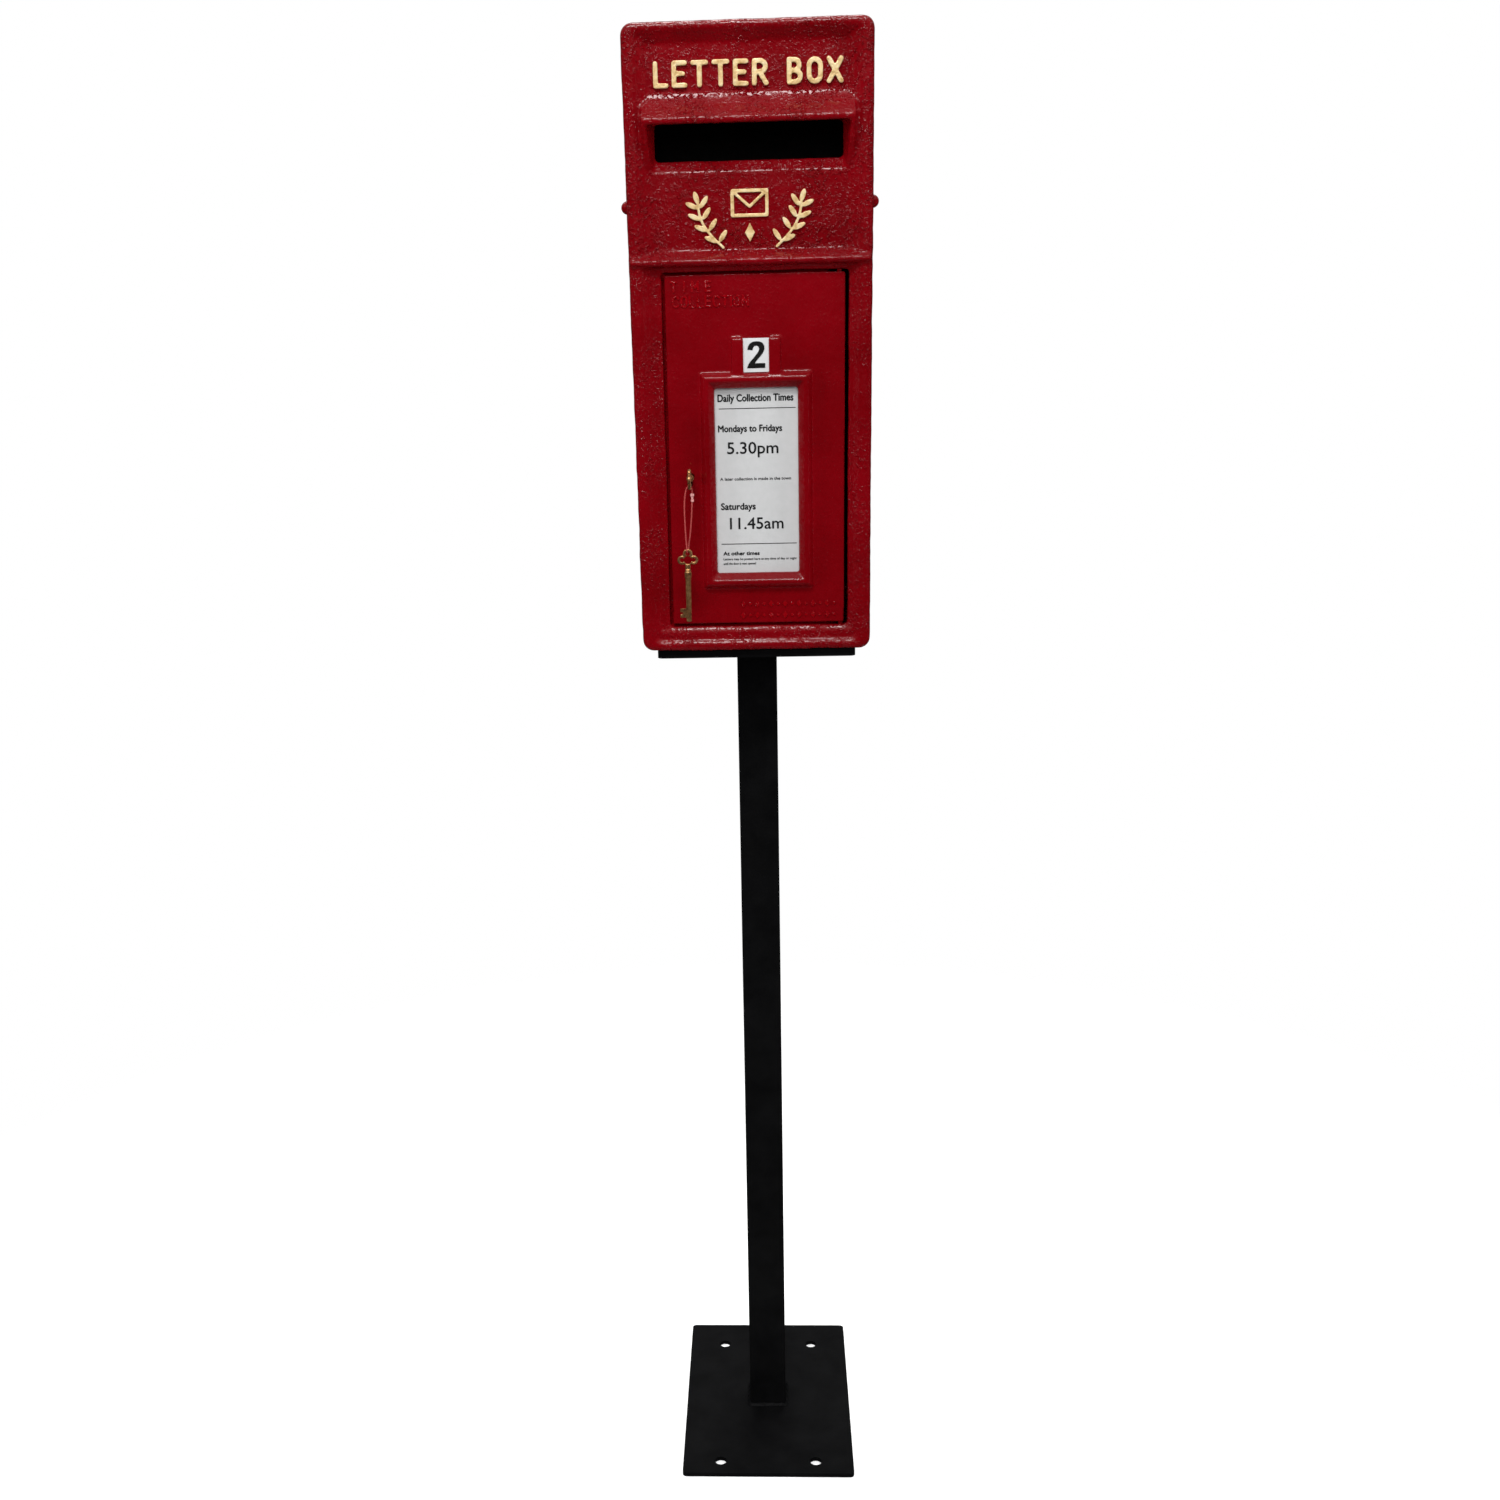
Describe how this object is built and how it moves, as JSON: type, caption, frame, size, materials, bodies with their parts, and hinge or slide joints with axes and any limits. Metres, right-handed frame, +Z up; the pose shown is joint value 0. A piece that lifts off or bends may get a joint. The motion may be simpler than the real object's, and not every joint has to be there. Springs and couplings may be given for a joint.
{
  "type": "letter box on post stand",
  "caption": "Cast-iron letter box with hooded slot, hinged lockable door, notice card and number tablet, bolted on a square steel post stand with a drilled base plate.",
  "frame": {"origin": "centre of the base plate's underside, on the ground", "axes": "+Z up along the post, -Y is the front with the slot and door, +X to the right as seen from the front"},
  "size_m": [0.2612, 0.304, 1.6185],
  "materials": {
    "stand_black": "satin",
    "zinc_steel": "satin",
    "red_cast": "gloss paint",
    "red_steel": "gloss",
    "guard_steel": "satin",
    "gold_paint": "satin",
    "pin_steel": "satin",
    "card": "matte paper",
    "brass": "satin",
    "string": "matte",
    "tablet_white": "satin",
    "numeral_black": "matte"
  },
  "bodies": {
    "stand_and_box": {"base_plate": "stand_black", "base_weld": "stand_black", "post_tube": "stand_black", "top_weld": "stand_black", "top_plate": "stand_black", "mount_bolts": "zinc_steel", "mount_washers": "zinc_steel", "body_casting": "red_cast", "back_plate": "stand_black", "back_screws": "zinc_steel", "side_bolts": "red_steel", "side_nuts": "zinc_steel", "letter_guard": "guard_steel", "top_lettering": "gold_paint", "emblem_relief": "gold_paint", "hinge_pins": "pin_steel"},
    "door": {"door_casting": "red_cast", "door_relief": "red_cast", "notice_card": "card", "notice_retainer": "guard_steel", "retainer_screws": "zinc_steel", "lock_case": "pin_steel", "lock_screws": "zinc_steel"},
    "bolt": {"lock_bolt": "brass"},
    "turn_key": {"lock_key": "brass"},
    "string": {"key_string": "string", "string_knot": "string"},
    "hanging_key": {"spare_key": "brass"},
    "tablet": {"number_tablet": "tablet_white", "tablet_numeral": "numeral_black"}
  },
  "joints": [
    {"name": "door_hinge", "type": "hinge", "parent": "stand_and_box", "child": "door", "pos_m": [0.09, -0.099, 1.2], "axis": [0, 0, 1], "range_deg": [0, 98]},
    {"name": "key_turn", "type": "hinge", "parent": "door", "child": "turn_key", "pos_m": [-0.0658, -0.133, 1.175], "axis": [0, 1, 0], "range_deg": [0, 90], "deforming": ["key_string"]},
    {"name": "bolt_slide", "type": "slide", "parent": "door", "child": "bolt", "axis": [-1, 0, 0], "range_m": [0, 0.011]},
    {"name": "tablet_lift", "type": "slide", "parent": "door", "child": "tablet", "axis": [0, 0, 1], "range_m": [0, 0.03]},
    {"name": "string_swing", "type": "hinge", "parent": "door", "child": "string", "pos_m": [-0.0658, -0.133, 1.168], "axis": [-1, 0, 0], "range_deg": [-4, 50]},
    {"name": "spare_key_swing", "type": "hinge", "parent": "string", "child": "hanging_key", "pos_m": [-0.0695, -0.133, 1.1], "axis": [0, 1, 0], "range_deg": [-20, 20]}
  ],
  "couplings": [
    {"joint": "key_turn", "follows": "bolt_slide", "rad_per_m": 142.7}
  ]
}
